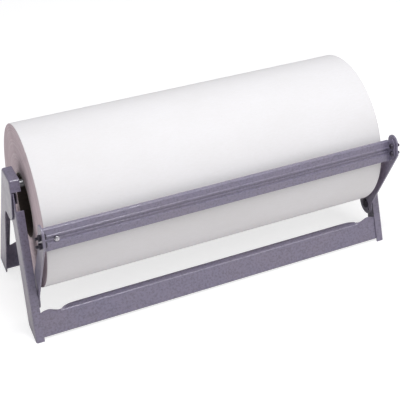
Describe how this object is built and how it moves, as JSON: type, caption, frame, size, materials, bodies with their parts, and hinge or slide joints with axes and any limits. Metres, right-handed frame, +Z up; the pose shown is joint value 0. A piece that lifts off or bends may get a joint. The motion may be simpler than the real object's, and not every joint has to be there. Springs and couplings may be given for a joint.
{
  "type": "paper roll dispenser",
  "caption": "Counter-top roll dispenser and cutter: pressed steel end stands and crossbars, a hung paper roll, and a sprung cutter bar on swinging arms.",
  "frame": {"origin": "on the table plane at the centre of the object's footprint box: midway between the end stands, and midway between the cutter's front edge and the back of the roll; the roll's axis is 13.05 mm behind it", "axes": "+Z up; +X along the roll, to the right of a person facing the cutter; -Y towards that person"},
  "size_m": [0.4984, 0.2326, 0.2403],
  "materials": {
    "grey_enamel": "semi-gloss grey enamel with a faint violet cast",
    "paper": "matt white paper",
    "core_board": "spiral-wound brown board",
    "rod_steel": "dull steel",
    "blade_steel": "ground steel",
    "spring_steel": "oiled spring wire",
    "dark_hardware": "dark plated steel"
  },
  "bodies": {
    "stand": {"left_rear_leg": "grey_enamel", "left_front_leg": "grey_enamel", "left_rod_seat": "grey_enamel", "left_front_rivet_1": "grey_enamel", "left_front_rivet_2": "grey_enamel", "left_rear_rivet_1": "grey_enamel", "left_rear_rivet_2": "grey_enamel", "left_head_rivet_1": "grey_enamel", "left_head_rivet_2": "grey_enamel", "left_pivot_stud": "dark_hardware", "left_pivot_washer": "dark_hardware", "left_torsion_spring": "spring_steel", "right_rear_leg": "grey_enamel", "right_front_leg": "grey_enamel", "right_rod_seat": "grey_enamel", "right_front_rivet_1": "grey_enamel", "right_front_rivet_2": "grey_enamel", "right_rear_rivet_1": "grey_enamel", "right_rear_rivet_2": "grey_enamel", "right_head_rivet_1": "grey_enamel", "right_head_rivet_2": "grey_enamel", "right_pivot_stud": "dark_hardware", "right_pivot_washer": "dark_hardware", "right_torsion_spring": "spring_steel", "front_crossbar": "grey_enamel", "rear_crossbar": "grey_enamel"},
    "cutter": {"left_cutter_arm": "grey_enamel", "left_bar_bolt_1": "dark_hardware", "left_bar_bolt_2": "dark_hardware", "left_bar_nut_1": "dark_hardware", "left_bar_nut_2": "dark_hardware", "right_cutter_arm": "grey_enamel", "right_bar_bolt_1": "dark_hardware", "right_bar_bolt_2": "dark_hardware", "right_bar_nut_1": "dark_hardware", "right_bar_nut_2": "dark_hardware", "cutter_bar": "grey_enamel", "cutter_blade": "blade_steel", "blade_screw": "dark_hardware"},
    "roll": {"paper_roll": "paper", "paper_core": "core_board"},
    "rod": {"hanger_rod": "rod_steel"}
  },
  "joints": [
    {"name": "cutter_swing", "type": "hinge", "parent": "stand", "child": "cutter", "pos_m": [0, -0.04925, 0.045], "axis": [1, 0, 0], "range_deg": [0, 60], "stiffness_Nm_per_rad": 0.3, "springref_deg": -85.94, "deforming": ["left_torsion_spring", "right_torsion_spring"]},
    {"name": "roll_spin", "type": "hinge", "parent": "stand", "child": "roll", "pos_m": [0, 0.01305, 0.1371], "axis": [1, 0, 0], "continuous": true},
    {"name": "rod_spin", "type": "hinge", "parent": "stand", "child": "rod", "pos_m": [0, 0.01305, 0.1701], "axis": [1, 0, 0], "continuous": true}
  ],
  "couplings": [
    {"joint": "rod_spin", "follows": "roll_spin", "ratio": 8.0211}
  ]
}
